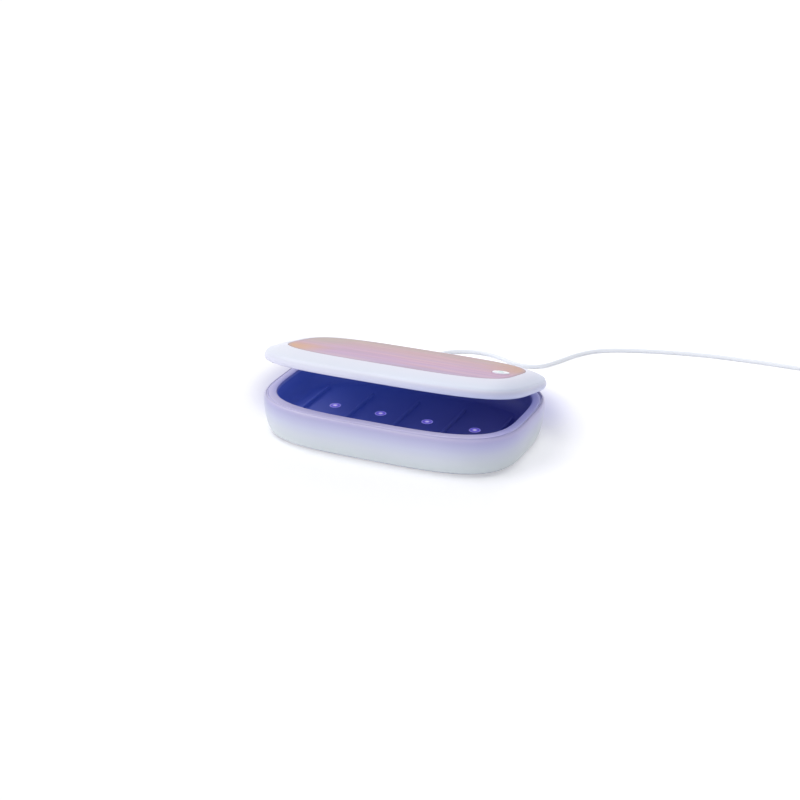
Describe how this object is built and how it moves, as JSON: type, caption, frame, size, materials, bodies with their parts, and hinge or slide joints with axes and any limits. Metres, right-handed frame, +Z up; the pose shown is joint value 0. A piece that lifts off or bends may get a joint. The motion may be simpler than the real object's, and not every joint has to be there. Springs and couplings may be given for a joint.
{
  "type": "uv sanitizer box for phones",
  "caption": "Rounded box with a hinged lid that stands ajar over a blue chamber tray lit by small lamps, with a round push button on the lid and a cord at the back.",
  "frame": {"origin": "centre of the box's footprint on the surface that it stands on", "axes": "+X along the long side to the right as seen from the front, +Y to the hinge at the back, +Z up"},
  "size_m": [0.4398, 0.3262, 0.074],
  "materials": {
    "housing": "satin, slightly translucent white",
    "tray": "glossy blue",
    "cover": "fine texture",
    "feet": "matte",
    "steel": "plated",
    "seal": "soft grey",
    "board": "solder mask",
    "lamp": "ceramic package",
    "window": "clear",
    "lid": "glossy white",
    "panel": "iridescent rose",
    "liner": "reflective",
    "bush": "acetal",
    "switch": "moulded",
    "magnet": "plated",
    "button": "glossy white",
    "lens": "tinted",
    "cord": "soft sheath",
    "tie": "soft silicone strap"
  },
  "bodies": {
    "base": {"base_shell": "housing", "inner_tray": "tray", "base_cover": "cover", "rubber_feet": "feet", "cover_screws": "steel", "rim_seal": "seal", "base_lamp_board": "board", "base_uv_lamps": "lamp", "base_lamp_windows": "window", "main_board": "board", "usb_socket": "steel", "base_board_screws": "steel", "lid_sensor": "board", "hinge_pin": "steel", "box_plug": "cord", "box_plug_shell": "steel", "cord_lead": "cord", "cord_coil": "cord", "far_plug": "cord", "far_plug_shell": "steel", "cord_tie": "tie"},
    "lid": {"lid_shell": "lid", "lid_panel": "panel", "lid_liner": "liner", "liner_screws": "steel", "hinge_bushes": "bush", "lid_lamp_boards": "board", "lid_uv_lamps": "lamp", "lid_lamp_windows": "window", "button_board": "board", "button_switch": "switch", "lid_board_screws": "steel", "lid_magnet": "magnet"},
    "button": {"power_button": "button", "button_lens": "lens"}
  },
  "joints": [
    {"name": "lid_hinge", "type": "hinge", "parent": "base", "child": "lid", "pos_m": [0, 0.0677, 0.0332], "axis": [-1, 0, 0], "range_deg": [-14.1, 75.9]},
    {"name": "button_press", "type": "slide", "parent": "lid", "child": "button", "axis": [0, -0.2436, -0.9699], "range_m": [0, 0.0005], "stiffness_N_per_m": 2000, "springref_m": -0.0003}
  ]
}
